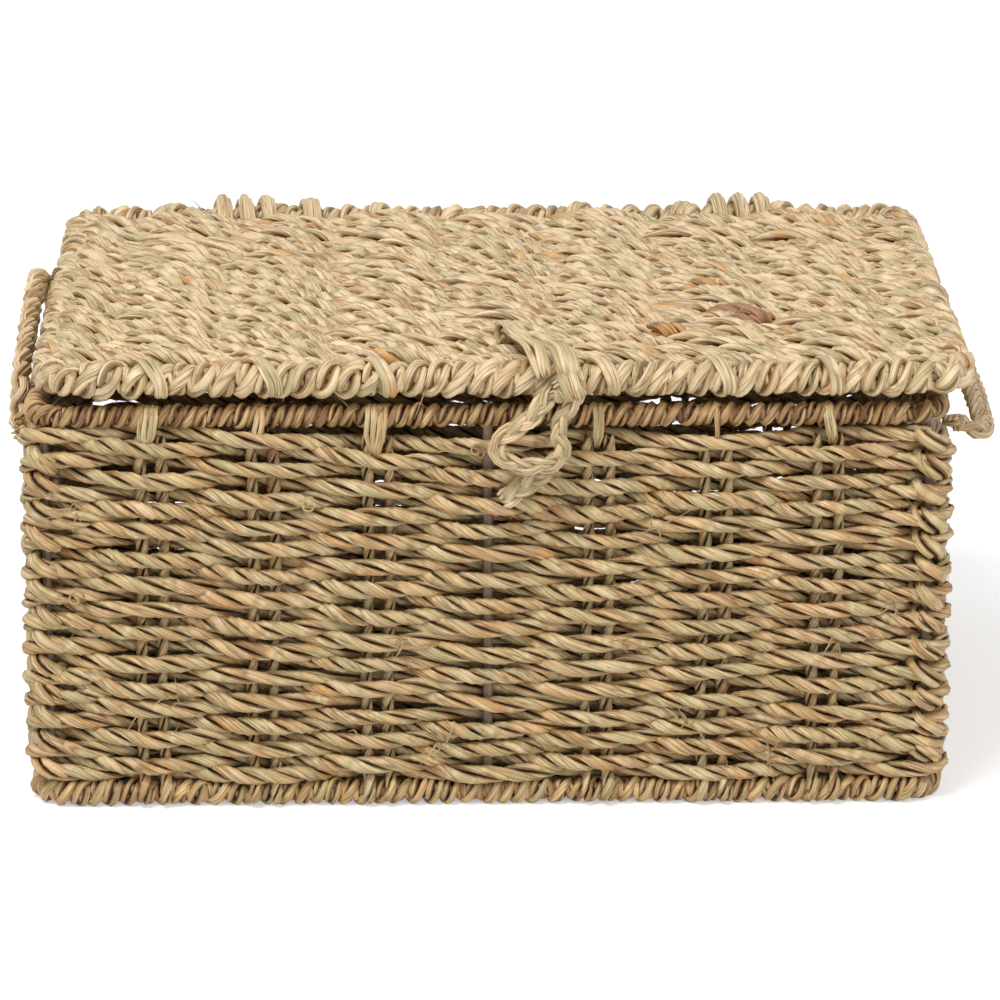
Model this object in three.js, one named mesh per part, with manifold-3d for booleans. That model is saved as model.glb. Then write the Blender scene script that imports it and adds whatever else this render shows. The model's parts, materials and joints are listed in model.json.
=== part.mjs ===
// Woven lidded box: seagrass cord woven over stakes on a wire frame, a lid lashed to the back rim,
// a plaited loop and toggle at the front and a plaited handle at each end.
// Millimetres, +Z up, the front towards -Y. The origin is the middle of the underside.
import * as THREE from "three";
import { mergeVertices } from "three/addons/utils/BufferGeometryUtils.js";
import Module from "manifold-3d";

const wasm = await Module();
wasm.setup();

// Body frame, measured between wire centres
const bodyWidth = 356.8;
const bodyDepth = 267.2;
const rimHeight = 161.1;
const cornerRadius = 12;
const wireDiameter = 4;
const widthBays = 8; // spaces between uprights along the front
const depthBays = 6; // and along each end

// Bindings wrapped round the frame wires
const rimBindingDiameter = 9;
const rimFoldThickness = 3.2; // of a stake folded over the rim binding, where the lid rests
const rimFoldWidth = 9;
const baseBindingDiameter = 11;
const baseFlat = 0.3; // how deep the base binding is pressed flat underneath

// Weave of the body
const wallThickness = 14;
const baseThickness = 10.4;
const coursePitch = 5.33;
const courseGroove = 1.2;
const crestStartShare = 0.28; // of a course's pitch
const crestEndShare = 0.72;
const rimSlit = 1.6; // open slit between the rim binding and the first course
const stakeDiameter = 4.5;
const stakeLegSpacing = 8.5;

// Lid
const lidOverhang = 0.8; // lid rim wire outside the body rim wire
const lidShift = 6.2; // how far right of the body's middle the lid was lashed
const lidBindingDiameter = 14;
const lidThickness = 12;
const lidCoursePitch = 6.65; // wider than on the walls
const lidSeatGap = 0.42; // between the lid binding and the folded stakes

// Lashings that hinge the lid
const lashingDiameter = 6;
const lashingTurnGap = 1.2; // least space between two turns
const lashingBay = 3; // the bay, counted from the middle, that a lashing fills
const lashingGrooveDiameter = 9.6; // of the lid binding where a lashing draws it in

// Loop, knot and toggle
const claspDiameter = 7;
const claspLoopDiameter = 6.5;
const claspX = 25.3; // where the knot sits, right of the lid's middle
const knotLength = 10.6;
const knotWall = 2.6;
const loopReach = 29.3; // from the knot to the loop's left side
const loopDrop = 29; // from the knot to the loop's lowest point
const legBackReach = 34; // how far each leg lies back over the lid
const legSpacing = 14.1; // from the left leg to the knot
const legSplay = 8.5; // how far left a leg starts from where it crosses the rim
const toggleLength = 19;
const toggleX = 14.3;
const toggleDrop = 19.7; // from the top of the wall to the toggle's middle
const toggleTilt = 36; // degrees

// Handles
const handleDiameter = 6;
const handleSpan = 98; // from the middle to an arm
const handleBend = 6;
const handlePin = 8; // length of the end that is woven in
const handleSink = 2.1; // how deep the ends and arms sit in the wall
const handleDrop = 5; // from the top of the wall to a handle's ends
const handleRecess = 12; // from a handle's ends to the foot of the dents for its arms
const handleReachLeft = 34;
const handleReachRight = 20.5;
const handleTiltLeft = 92; // degrees above level, so it leans in
const handleTiltRight = -32; // degrees, so it hangs below level
const pocketWall = 1.5; // weave over a handle's end

// Clearances and cuts
const seatGap = 0.3; // between pieces that touch
const runningGap = 0.5; // round a piece that turns
const overrun = 5; // how far a cut runs past its piece
const mergeTolerance = 1e-3;

// Facets
const wireSides = 8;
const bindingSides = 12;
const stakeSides = 6;
const cordSides = 8;
const lashingSides = 6;
const lashingSteps = 24; // per turn
const legSteps = 6; // round the lid's rim
const stakeSteps = 4; // round a stake's bend
const toggleSteps = 2; // on each round end
const rimSteps = 3; // round a rim's corner
const wallSteps = 4; // round a wall's corner

// Places that follow from the sizes above
const baseWireHeight = baseBindingDiameter / 2 - baseFlat;
const baseTop = baseWireHeight + baseBindingDiameter / 2;
const wallBottom = baseTop + seatGap;
const rimUnderside = rimHeight - rimBindingDiameter / 2;
const wallTop = rimUnderside - rimSlit;
const handleHeight = wallTop - handleDrop;
const widthBay = bodyWidth / widthBays;
const depthBay = bodyDepth / depthBays;
const lidWidth = bodyWidth + 2 * lidOverhang;
const lidDepth = bodyDepth + 2 * lidOverhang;
const lidCornerRadius = cornerRadius + lidOverhang;
const rimFoldDiameter = rimBindingDiameter + 2 * rimFoldThickness;
const rimDistance = (rimFoldDiameter + lidBindingDiameter) / 2 + lidSeatGap;
const lidHeight = rimHeight + Math.sqrt(rimDistance ** 2 - lidOverhang ** 2);
const lidTop = lidHeight + lidThickness / 2;
const slotThickness = stakeDiameter + 2 * seatGap;
const slotWidth = stakeLegSpacing + slotThickness;
const boreDiameter = wireDiameter + 2 * seatGap;

// Colours of the dry grass and the wire
const strawBody = { color: 0x9c8457, roughness: 0.85, metalness: 0 };
const strawRim = { color: 0xa58b62, roughness: 0.85, metalness: 0 };
const strawLid = { color: 0xc6b487, roughness: 0.85, metalness: 0 };
const strawPlait = { color: 0xcdb78c, roughness: 0.8, metalness: 0 };
const wirePaint = { color: 0x7d6b5c, roughness: 0.5, metalness: 0.3 };

const quarterTurn = Math.PI / 2;

const box = new THREE.Group();
const body = new THREE.Group();
const lid = new THREE.Group();
lid.position.x = lidShift;
box.add(body, lid);

// A path through the stations given, one step to each.
class Route extends THREE.Curve {
  constructor(stations, closed = false) {
    super();
    this.stations = stations;
    this.closed = closed;
    this.steps = closed ? stations.length : stations.length - 1;
  }
  station(index) {
    const count = this.stations.length;
    const wrapped = (index + count) % count;
    return this.stations[this.closed ? wrapped : THREE.MathUtils.clamp(index, 0, count - 1)];
  }
  getPointAt(share, target = new THREE.Vector3()) {
    return target.copy(this.station(Math.round(share * this.steps)));
  }
  getTangentAt(share, target = new THREE.Vector3()) {
    const index = Math.round(share * this.steps);
    const here = this.station(index);
    const arriving = here.clone().sub(this.station(index - 1)).normalize();
    const leaving = this.station(index + 1).clone().sub(here).normalize();
    return target.addVectors(arriving, leaving).normalize();
  }
}

function point(x, y, z) {
  return new THREE.Vector3(x, y, z);
}

// A round section swept through open stations.
function cord(stations, diameter, sides) {
  const corners = [];
  for (let side = 0; side < sides; side++) {
    const angle = (side / sides) * 2 * Math.PI;
    corners.push(new THREE.Vector2(Math.cos(angle), Math.sin(angle)).multiplyScalar(diameter / 2));
  }
  return sweep(new THREE.Shape(corners), stations);
}

// Along a level path the shape's x points down, and its y points left of the way it runs.
function sweep(shape, stations) {
  const route = new Route(stations);
  return new THREE.ExtrudeGeometry(shape, { extrudePath: route, steps: route.steps });
}

function ring(stations, diameter, sides) {
  const route = new Route(stations, true);
  return new THREE.TubeGeometry(route, route.steps, diameter / 2, sides, true);
}

function block(width, depth, height, x, y, z) {
  return new THREE.BoxGeometry(width, depth, height).translate(x, y, z);
}

// A rounded rectangle seen from above, as stations that run anticlockwise.
function roundedPlan(width, depth, radius, height) {
  const stations = [];
  const corners = [[1, 1], [-1, 1], [-1, -1], [1, -1]];
  corners.forEach(([sideX, sideY], corner) => {
    for (let step = 0; step <= rimSteps; step++) {
      const angle = quarterTurn * (corner + step / rimSteps);
      const x = sideX * (width / 2 - radius) + radius * Math.cos(angle);
      const y = sideY * (depth / 2 - radius) + radius * Math.sin(angle);
      stations.push(point(x, y, height));
    }
  });
  return stations;
}

function toSolid(geometry) {
  const bare = geometry.index ? geometry.toNonIndexed() : geometry.clone();
  bare.deleteAttribute("normal");
  bare.deleteAttribute("uv");
  const merged = mergeVertices(bare, mergeTolerance);
  const vertProperties = merged.attributes.position.array;
  const triVerts = new Uint32Array(merged.index.array);
  return new wasm.Manifold(new wasm.Mesh({ numProp: 3, vertProperties, triVerts }));
}

function toGeometry(solid) {
  const mesh = solid.getMesh();
  const geometry = new THREE.BufferGeometry();
  geometry.setAttribute("position", new THREE.BufferAttribute(mesh.vertProperties, 3));
  geometry.setIndex(new THREE.BufferAttribute(mesh.triVerts, 1));
  geometry.computeVertexNormals();
  return geometry;
}

// What of the first geometry lies within another, joined with those added, less those cut.
function carve(base, { within, added = [], cuts = [] }) {
  let solid = toSolid(base);
  if (within) solid = solid.intersect(toSolid(within));
  for (const piece of added) solid = solid.add(toSolid(piece));
  for (const piece of cuts) solid = solid.subtract(toSolid(piece));
  return toGeometry(solid);
}

function place(parent, name, geometry, finish, turn = 0) {
  const mesh = new THREE.Mesh(geometry, new THREE.MeshStandardMaterial(finish));
  mesh.name = name;
  mesh.rotation.z = turn;
  parent.add(mesh);
}

function upright(diameter, sides, x, y, low, high) {
  return cord([point(x, y, low), point(x, y, high)], diameter, sides);
}

// Where an upright stands in the middle of each rounded corner.
function cornerPlaces() {
  const inset = cornerRadius * (1 - Math.SQRT1_2);
  const x = bodyWidth / 2 - inset;
  const y = bodyDepth / 2 - inset;
  return [
    ["front_left", -x, -y],
    ["front_right", x, -y],
    ["back_left", -x, y],
    ["back_right", x, y],
  ];
}

function midPlaces() {
  return [
    ["front", 0, -bodyDepth / 2],
    ["back", 0, bodyDepth / 2],
  ];
}

// Offsets of the stakes from the middle of a side, leaving out the place of a middle wire.
function stakeOffsets(bays, bay, hasMiddleWire) {
  const offsets = [];
  for (let step = 1; step < bays; step++) {
    const offset = (step - bays / 2) * bay;
    if (!hasMiddleWire || offset !== 0) offsets.push(offset);
  }
  return offsets;
}

// Wire frame of the body

const rimPlan = roundedPlan(bodyWidth, bodyDepth, cornerRadius, rimHeight);
const basePlan = roundedPlan(bodyWidth, bodyDepth, cornerRadius, baseWireHeight);
place(body, "top_rim_wire", ring(rimPlan, wireDiameter, wireSides), wirePaint);
place(body, "base_rim_wire", ring(basePlan, wireDiameter, wireSides), wirePaint);

const uprightLow = baseWireHeight + wireDiameter / 2 + seatGap;
const uprightHigh = rimHeight - wireDiameter / 2 - seatGap;
for (const [name, x, y] of cornerPlaces()) {
  const post = upright(wireDiameter, wireSides, x, y, uprightLow, uprightHigh);
  place(body, "corner_post_" + name, post, wirePaint);
}
for (const [name, x, y] of midPlaces()) {
  const post = upright(wireDiameter, wireSides, x, y, uprightLow, uprightHigh);
  place(body, "mid_post_" + name, post, wirePaint);
}

function crossWire(depth, height, diameter, extra) {
  const reach = depth / 2 - wireDiameter / 2 - seatGap + extra;
  return cord([point(0, -reach, height), point(0, reach, height)], diameter, wireSides);
}
place(body, "base_cross_wire", crossWire(bodyDepth, baseWireHeight, wireDiameter, 0), wirePaint);

// Bindings: a sleeve round each rim wire, open where an upright or a cross wire enters

function binding(plan, diameter, cuts, added = []) {
  const bore = ring(plan, boreDiameter, wireSides);
  return carve(ring(plan, diameter, bindingSides), { added, cuts: [bore, ...cuts] });
}

const widthStakes = stakeOffsets(widthBays, widthBay, true);
const depthStakes = stakeOffsets(depthBays, depthBay, false);

// The short thicker sleeves where stakes fold over the rim binding of one side and its opposite.
function rimFolds(offsets, across, along) {
  const folds = [];
  for (const offset of offsets) {
    for (const side of [-1, 1]) {
      const centre = across.clone().multiplyScalar(side).addScaledVector(along, offset);
      centre.z = rimHeight;
      const ends = [-rimFoldWidth / 2, rimFoldWidth / 2].map((reach) =>
        centre.clone().addScaledVector(along, reach),
      );
      folds.push(cord(ends, rimFoldDiameter, bindingSides));
    }
  }
  return folds;
}

// The outermost stakes of an end are tucked in beside the handle, without a fold.
const foldedDepthStakes = depthStakes.slice(1, -1);
const allRimFolds = [
  ...rimFolds(widthStakes, point(0, bodyDepth / 2, 0), point(1, 0, 0)),
  ...rimFolds(foldedDepthStakes, point(bodyWidth / 2, 0, 0), point(0, 1, 0)),
];

const uprightBores = [...cornerPlaces(), ...midPlaces()].map(([, x, y]) =>
  upright(boreDiameter, wireSides, x, y, baseWireHeight, rimHeight),
);
const baseBore = crossWire(bodyDepth, baseWireHeight, boreDiameter, wireDiameter / 2);
const floorCut = block(
  bodyWidth + 2 * baseBindingDiameter,
  bodyDepth + 2 * baseBindingDiameter,
  overrun,
  0,
  0,
  -overrun / 2,
);
const rimSleeve = binding(rimPlan, rimBindingDiameter, uprightBores, allRimFolds);
place(body, "rim_binding", rimSleeve, strawRim);
place(
  body,
  "base_binding",
  binding(basePlan, baseBindingDiameter, [...uprightBores, baseBore, floorCut]),
  strawRim,
);

// Woven walls: one ribbed course above another, from one corner post to the next

function wallSection(height) {
  const courses = Math.floor(height / coursePitch);
  const pitch = height / courses;
  const face = -wallThickness / 2;
  const corners = [new THREE.Vector2(0, -face)];
  for (let course = 0; course < courses; course++) {
    const low = course * pitch;
    corners.push(new THREE.Vector2(-low, face + courseGroove));
    corners.push(new THREE.Vector2(-low - pitch * crestStartShare, face));
    corners.push(new THREE.Vector2(-low - pitch * crestEndShare, face));
  }
  corners.push(new THREE.Vector2(-height, face + courseGroove));
  corners.push(new THREE.Vector2(-height, -face));
  return new THREE.Shape(corners);
}

// The front wall of a box this wide and deep, running on past the middle of its corners.
function wallRoute(width, depth) {
  const bend = (side, step) => {
    const turn = (step / wallSteps) * quarterTurn;
    const x = side * (width / 2 - cornerRadius + cornerRadius * Math.sin(turn));
    return point(x, -depth / 2 + cornerRadius * (1 - Math.cos(turn)), wallBottom);
  };
  const stations = [];
  for (let step = wallSteps - 1; step >= 0; step--) stations.push(bend(-1, step));
  for (let step = 0; step < wallSteps; step++) stations.push(bend(1, step));
  return stations;
}

// What one wall may fill, seen from above: up to half a gap short of each mitre.
function wallWedge(width, depth, height) {
  const corner = (side, out) =>
    new THREE.Vector2(side * (width / 2 + out - seatGap * Math.SQRT1_2), -depth / 2 - out);
  const wedge = new THREE.Shape([
    corner(-1, wallThickness),
    corner(1, wallThickness),
    corner(1, -wallThickness),
    corner(-1, -wallThickness),
  ]);
  const cut = { depth: height + 2 * overrun, bevelEnabled: false };
  return new THREE.ExtrudeGeometry(wedge, cut).translate(0, 0, wallBottom - overrun);
}

function wall(width, depth, stakes, folded, { pockets = [], extraCuts = [] }) {
  const height = wallTop - wallBottom;
  const middle = (wallTop + wallBottom) / 2;
  const inset = cornerRadius * (1 - Math.SQRT1_2);
  const slots = stakes.map((x) =>
    block(slotWidth, slotThickness, height + 2 * overrun, x, -depth / 2, middle),
  );
  const postCuts = [-1, 1].map((side) =>
    upright(
      boreDiameter,
      wireSides,
      side * (width / 2 - inset),
      -depth / 2 + inset,
      wallBottom - overrun,
      wallTop + overrun,
    ),
  );
  const foldRoom = rimFoldDiameter + 2 * seatGap;
  const foldCuts = folded.map((x) =>
    block(rimFoldWidth + 2 * seatGap, foldRoom, foldRoom, x, -depth / 2, rimHeight),
  );
  const bores = pockets.map(([, bore]) => bore);
  return carve(sweep(wallSection(height), wallRoute(width, depth)), {
    within: wallWedge(width, depth, height),
    added: pockets.map(([sleeve]) => sleeve),
    cuts: [...slots, ...foldCuts, ...postCuts, ...bores, ...extraCuts],
  });
}

// How far out from the middle of a wall's thickness the axis of a handle lies.
const handleOut = wallThickness / 2 + seatGap + handleDiameter / 2 - handleSink;

// A woven-in sleeve that holds a handle's end, with its bore, on the outside of a wall.
function handlePocket(side, depth) {
  const bore = handleDiameter + 2 * runningGap;
  const y = -depth / 2 - handleOut;
  const start = side * (handleSpan + handleBend + runningGap);
  const end = side * (handleSpan + handleBend + handlePin);
  const along = (from, to, diameter) =>
    cord([point(from, y, handleHeight), point(to, y, handleHeight)], diameter, cordSides);
  const sleeve = along(start, end, bore + 2 * pocketWall);
  return [sleeve, along(start - side * overrun, end + side * overrun, bore)];
}

// The dent in a wall's face that an arm of a handle swings through.
function armDent(side, depth) {
  const near = handleSpan - handleDiameter / 2 - runningGap;
  const far = handleSpan + handleBend + runningGap;
  const low = handleHeight - handleRecess;
  const high = wallTop + overrun;
  const cut = 2 * (handleSink + runningGap - seatGap);
  const face = -(depth + wallThickness) / 2;
  return block(far - near, cut, high - low, (side * (near + far)) / 2, face, (low + high) / 2);
}

const lashingX = (lashingBay - 1 / 2) * widthBay;
const lashingRoom = widthBay - slotWidth - 2 * runningGap;
const lashingTurns = Math.max(
  1,
  Math.floor((lashingRoom - lashingDiameter) / (lashingDiameter + lashingTurnGap)),
);
const lashingPitch = (lashingRoom - lashingDiameter) / lashingTurns;
const lashingNotchLow =
  rimHeight - rimBindingDiameter / 2 - 2 * runningGap - lashingDiameter;

const lashingNotches = [-1, 1].map((side) =>
  block(
    lashingRoom + runningGap,
    wallThickness + 2 * overrun,
    2 * (wallTop - lashingNotchLow),
    side * lashingX,
    -bodyDepth / 2,
    wallTop,
  ),
);
const midSlot = upright(
  boreDiameter,
  wireSides,
  0,
  -bodyDepth / 2,
  wallBottom - overrun,
  wallTop + overrun,
);
const endPockets = [-1, 1].map((side) => handlePocket(side, bodyWidth));
const armDents = [-1, 1].map((side) => armDent(side, bodyWidth));
const frontWall = wall(bodyWidth, bodyDepth, widthStakes, widthStakes, {
  extraCuts: [midSlot],
});
const backWall = wall(bodyWidth, bodyDepth, widthStakes, widthStakes, {
  extraCuts: [midSlot, ...lashingNotches],
});
const endWall = wall(bodyDepth, bodyWidth, depthStakes, foldedDepthStakes, {
  pockets: endPockets,
  extraCuts: armDents,
});
place(body, "wall_weave_front", frontWall, strawBody);
place(body, "wall_weave_back", backWall, strawBody, 2 * quarterTurn);
place(body, "wall_weave_right", endWall, strawBody, quarterTurn);
place(body, "wall_weave_left", endWall, strawBody, -quarterTurn);

// Stakes: each a doubled cord whose bend sits under the rim binding

function hairpin(near, far, across) {
  const radius = stakeLegSpacing / 2;
  const along = far.clone().sub(near).normalize();
  const stations = [near.clone().addScaledVector(across, -radius)];
  const centre = far.clone().addScaledVector(along, -radius - stakeDiameter / 2);
  for (let step = 0; step <= stakeSteps; step++) {
    const angle = (step / stakeSteps) * Math.PI;
    const station = centre.clone().addScaledVector(across, -radius * Math.cos(angle));
    stations.push(station.addScaledVector(along, radius * Math.sin(angle)));
  }
  stations.push(near.clone().addScaledVector(across, radius));
  return cord(stations, stakeDiameter, stakeSides);
}

function wallStakes(name, offsets, depth, turn) {
  offsets.forEach((x, index) => {
    const low = point(x, -depth / 2, wallBottom);
    const high = point(x, -depth / 2, rimHeight - rimFoldDiameter / 2 - seatGap);
    const stake = hairpin(low, high, point(1, 0, 0));
    place(body, "stake_" + name + "_" + (index + 1), stake, strawBody, turn);
  });
}
wallStakes("front", widthStakes, bodyDepth, 0);
wallStakes("back", widthStakes, bodyDepth, 2 * quarterTurn);
wallStakes("right", depthStakes, bodyWidth, quarterTurn);
wallStakes("left", depthStakes, bodyWidth, -quarterTurn);

// A flat woven panel with courses from side to side, grooved above and, where asked, below.
function wovenPanel(width, depth, radius, low, thickness, leastPitch, groovedBelow) {
  const courses = Math.floor(depth / leastPitch);
  const pitch = depth / courses;
  const lowShares = groovedBelow ? [0, crestStartShare, crestEndShare] : [0];
  const above = [];
  const below = [];
  for (let course = 0; course < courses; course++) {
    const y = -depth / 2 + course * pitch;
    above.push(new THREE.Vector2(-thickness + courseGroove, y));
    above.push(new THREE.Vector2(-thickness, y + pitch * crestStartShare));
    above.push(new THREE.Vector2(-thickness, y + pitch * crestEndShare));
    for (const share of groovedBelow || course === 0 ? lowShares : []) {
      const rise = groovedBelow && share === 0 ? courseGroove : 0;
      below.push(new THREE.Vector2(-rise, y + pitch * share));
    }
  }
  const lastRise = groovedBelow ? courseGroove : 0;
  above.push(new THREE.Vector2(-thickness + courseGroove, depth / 2));
  below.push(new THREE.Vector2(-lastRise, depth / 2));
  const section = new THREE.Shape([...below, ...above.reverse()]);
  const slab = sweep(section, [point(-width / 2, 0, low), point(width / 2, 0, low)]);
  const outline = new THREE.Shape(
    roundedPlan(width, depth, radius, 0).map(({ x, y }) => new THREE.Vector2(x, y)),
  );
  const prism = new THREE.ExtrudeGeometry(outline, {
    depth: thickness + 2 * overrun,
    bevelEnabled: false,
  }).translate(0, 0, low - overrun);
  return carve(slab, { within: prism });
}

// Base

const baseInset = baseBindingDiameter + 2 * seatGap;
const basePanel = wovenPanel(
  bodyWidth - baseInset,
  bodyDepth - baseInset,
  cornerRadius - baseInset / 2,
  0,
  baseThickness,
  coursePitch,
  false,
);
place(body, "base_weave", carve(basePanel, { cuts: [baseBore] }), strawBody);

// Lid

const lidPlan = roundedPlan(lidWidth, lidDepth, lidCornerRadius, lidHeight);
const lidBore = crossWire(lidDepth, lidHeight, boreDiameter, wireDiameter / 2);
const lidInset = lidBindingDiameter + 2 * seatGap;
const lidPanelDepth = lidDepth - lidInset;
place(lid, "lid_rim_wire", ring(lidPlan, wireDiameter, wireSides), wirePaint);
place(lid, "lid_cross_wire", crossWire(lidDepth, lidHeight, wireDiameter, 0), wirePaint);

// Where a lashing draws the lid binding in: all of it that lies outside the groove's round floor.
function lashingGroove(x) {
  const ends = [-1, 1].map((side) => x + (side * (lashingRoom + runningGap)) / 2);
  const outer = alongX(lidBindingDiameter + overrun, ...ends, lidDepth / 2, lidHeight);
  const floor = alongX(
    lashingGrooveDiameter,
    ends[0] - overrun,
    ends[1] + overrun,
    lidDepth / 2,
    lidHeight,
  );
  return carve(outer, { cuts: [floor] });
}
const lidLashings = [-lashingX - lidShift, lashingX - lidShift];
const lidSleeve = binding(lidPlan, lidBindingDiameter, [
  lidBore,
  ...lidLashings.map(lashingGroove),
]);
place(lid, "lid_binding", lidSleeve, strawLid);

const lidNotchReach =
  lidBindingDiameter / 2 + lashingDiameter + 2 * runningGap + lidOverhang;
const lidNotches = lidLashings.map((x) =>
  block(
    lashingRoom + runningGap,
    2 * lidNotchReach,
    lidThickness + 2 * overrun,
    x,
    lidDepth / 2,
    lidHeight,
  ),
);
const lidStakes = widthStakes.map((x) => x - lidShift); // in line with the body's
const lidSlots = lidStakes.map((x) =>
  block(slotWidth, lidDepth, slotThickness, x, 0, lidHeight),
);
const lidPanel = wovenPanel(
  lidWidth - lidInset,
  lidPanelDepth,
  lidCornerRadius - lidInset / 2,
  lidHeight - lidThickness / 2,
  lidThickness,
  lidCoursePitch,
  true,
);
place(
  lid,
  "lid_weave",
  carve(lidPanel, { cuts: [lidBore, ...lidSlots, ...lidNotches] }),
  strawLid,
);
lidStakes.forEach((x, index) => {
  const near = point(x, lidPanelDepth / 2, lidHeight);
  const far = point(x, -lidPanelDepth / 2, lidHeight);
  const stake = hairpin(near, far, point(1, 0, 0));
  place(lid, "lid_stake_" + (index + 1), stake, strawLid);
});

// Hinge lashings: one cord wound round the lid's back rim and the body's back rim

function lashingStations(centreX) {
  const radius = lashingDiameter / 2 + runningGap;
  const upper = [lidDepth / 2, lidHeight, lashingGrooveDiameter / 2 + radius];
  const lower = [bodyDepth / 2, rimHeight, rimBindingDiameter / 2 + radius];
  const rise = new THREE.Vector2(lidOverhang, lidHeight - rimHeight);
  const steps = lashingTurns * lashingSteps;
  const stations = [];
  for (let step = 0; step <= steps; step++) {
    const angle = (step / lashingSteps) * 2 * Math.PI - quarterTurn;
    const facing = new THREE.Vector2(Math.cos(angle), Math.sin(angle));
    const [y, z, reach] = facing.dot(rise) > 0 ? upper : lower;
    const x = centreX + lashingPitch * (step / lashingSteps - lashingTurns / 2);
    stations.push(point(x, y + reach * facing.x, z + reach * facing.y));
  }
  const tail = point(0, lashingDiameter, 0);
  stations.unshift(stations[0].clone().sub(tail));
  stations.push(stations.at(-1).clone().add(tail));
  return stations;
}

// The least gap between stretches of a winding at least half a turn apart.
function leastGap(stations) {
  let least = Infinity;
  stations.forEach((here, index) => {
    for (const other of stations.slice(index + lashingSteps / 2)) {
      least = Math.min(least, here.distanceTo(other) - lashingDiameter);
    }
  });
  return least;
}

for (const [name, side] of [["left", -1], ["right", 1]]) {
  const stations = lashingStations(side * lashingX);
  place(
    body,
    "hinge_lashing_" + name,
    cord(stations, lashingDiameter, lashingSides),
    strawPlait,
  );
  console.log("hinge_lashing_" + name + " least gap " + leastGap(stations).toFixed(2) + " mm");
}

// Loop and toggle: two legs come over the lid's front rim, and the loop hangs in the knot

const legReach = lidBindingDiameter / 2 + seatGap + claspDiameter / 2;
const knotReach = claspLoopDiameter / 2 + runningGap + knotWall;
const toggleY = -(bodyDepth + wallThickness + claspDiameter) / 2 - seatGap;
const knotY = Math.min(
  -(lidDepth + lidBindingDiameter) / 2 - seatGap - knotReach,
  toggleY - (claspDiameter + claspLoopDiameter) / 2 - seatGap,
);

function leg(x, backReach, lastAngle) {
  const surface = lidTop + seatGap + claspDiameter / 2;
  const stations = [point(x - legSplay, -lidDepth / 2 + backReach, surface)];
  for (let step = 0; step <= legSteps; step++) {
    const angle = quarterTurn + (step / legSteps) * (lastAngle - quarterTurn);
    const y = -lidDepth / 2 + legReach * Math.cos(angle);
    stations.push(point(x, y, lidHeight + legReach * Math.sin(angle)));
  }
  return stations;
}

const legWrapShare = 11 / 12; // of the half turn from the top of the rim to its front and under
const shortLegShare = 0.6;
const leftLeg = leg(claspX - legSpacing, legBackReach, legWrapShare * Math.PI);
place(lid, "clasp_leg", cord(leftLeg, claspDiameter, cordSides), strawPlait);

function alongX(diameter, from, to, y, z) {
  return cord([point(from, y, z), point(to, y, z)], diameter, cordSides);
}
const knotSides = [claspX - knotLength / 2, claspX + knotLength / 2];
const knot = alongX(2 * knotReach, ...knotSides, knotY, lidHeight);
const knotBore = alongX(
  claspLoopDiameter + 2 * runningGap,
  knotSides[0] - overrun,
  knotSides[1] + overrun,
  knotY,
  lidHeight,
);
const rightLeg = cord(
  leg(claspX, legBackReach * shortLegShare, Math.PI),
  claspDiameter,
  cordSides,
);
place(
  lid,
  "clasp_knot",
  carve(rightLeg, { added: [knot], cuts: [knotBore] }),
  strawPlait,
);

// The loop's outline from the knot, in shares of its reach to the left and of its drop.
const loopShares = [
  [0.31, -0.09],
  [0.36, -0.28],
  [0.16, -0.47],
  [-0.04, -0.66],
  [-0.18, -0.86],
  [-0.36, -1],
  [-0.62, -0.99],
  [-0.88, -0.91],
  [-1, -0.77],
  [-0.92, -0.6],
  [-0.72, -0.42],
  [-0.52, -0.26],
  [-0.36, -0.11],
];
const loopBarEnd = knotLength / 2 + claspLoopDiameter / 4;
const loopStations = [
  point(claspX - loopBarEnd, knotY, lidHeight),
  point(claspX + loopBarEnd, knotY, lidHeight),
  ...loopShares.map(([across, up]) =>
    point(claspX + across * loopReach, knotY, lidHeight + up * loopDrop),
  ),
];
place(lid, "clasp_loop", ring(loopStations, claspLoopDiameter, cordSides), strawPlait);

const toggle = new THREE.CapsuleGeometry(
  claspDiameter / 2,
  toggleLength - claspDiameter,
  toggleSteps,
  cordSides,
);
toggle.rotateX(quarterTurn);
toggle.rotateY(quarterTurn - THREE.MathUtils.degToRad(toggleTilt));
toggle.translate(toggleX, toggleY, wallTop - toggleDrop);
place(body, "clasp_toggle", toggle, strawPlait);

// Handles: each turns on its two ends, which are woven into the end walls

// Each arch from its front arm to its back arm, in shares of the handle's span and reach.
const leftArchShares = [
  [-0.99, 0.3],
  [-0.96, 0.47],
  [-0.8, 0.63],
  [-0.5, 0.79],
  [-0.25, 0.92],
  [0, 1],
  [0.2, 0.93],
  [0.42, 0.7],
  [0.6, 0.5],
  [0.8, 0.33],
  [0.99, 0.24],
];
const rightArchShares = [
  [-0.99, 0.45],
  [-0.95, 0.72],
  [-0.8, 0.86],
  [-0.45, 0.95],
  [0, 1],
  [0.45, 0.95],
  [0.8, 0.86],
  [0.95, 0.72],
  [0.99, 0.45],
];

function handle(side, reach, tilt, archShares) {
  const pivotX = bodyWidth / 2 + handleOut;
  const angle = THREE.MathUtils.degToRad(tilt);
  const at = (y, out) =>
    point(side * (pivotX + out * Math.cos(angle)), y, handleHeight + out * Math.sin(angle));
  const bendStart = handleSpan + handleBend;
  const bendShare = 1 - Math.SQRT1_2; // of the bend, half way round it
  const end = [
    [bendStart + handlePin, 0],
    [bendStart, 0],
    [handleSpan + handleBend * bendShare, handleBend * bendShare],
  ];
  const stations = end.map(([y, out]) => at(-y, out));
  for (const [span, out] of archShares) stations.push(at(span * handleSpan, out * reach));
  stations.push(...end.reverse().map(([y, out]) => at(y, out)));
  return cord(stations, handleDiameter, cordSides);
}
const leftHandle = handle(-1, handleReachLeft, handleTiltLeft, leftArchShares);
const rightHandle = handle(1, handleReachRight, handleTiltRight, rightArchShares);
place(box, "handle_left", leftHandle, strawPlait);
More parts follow.
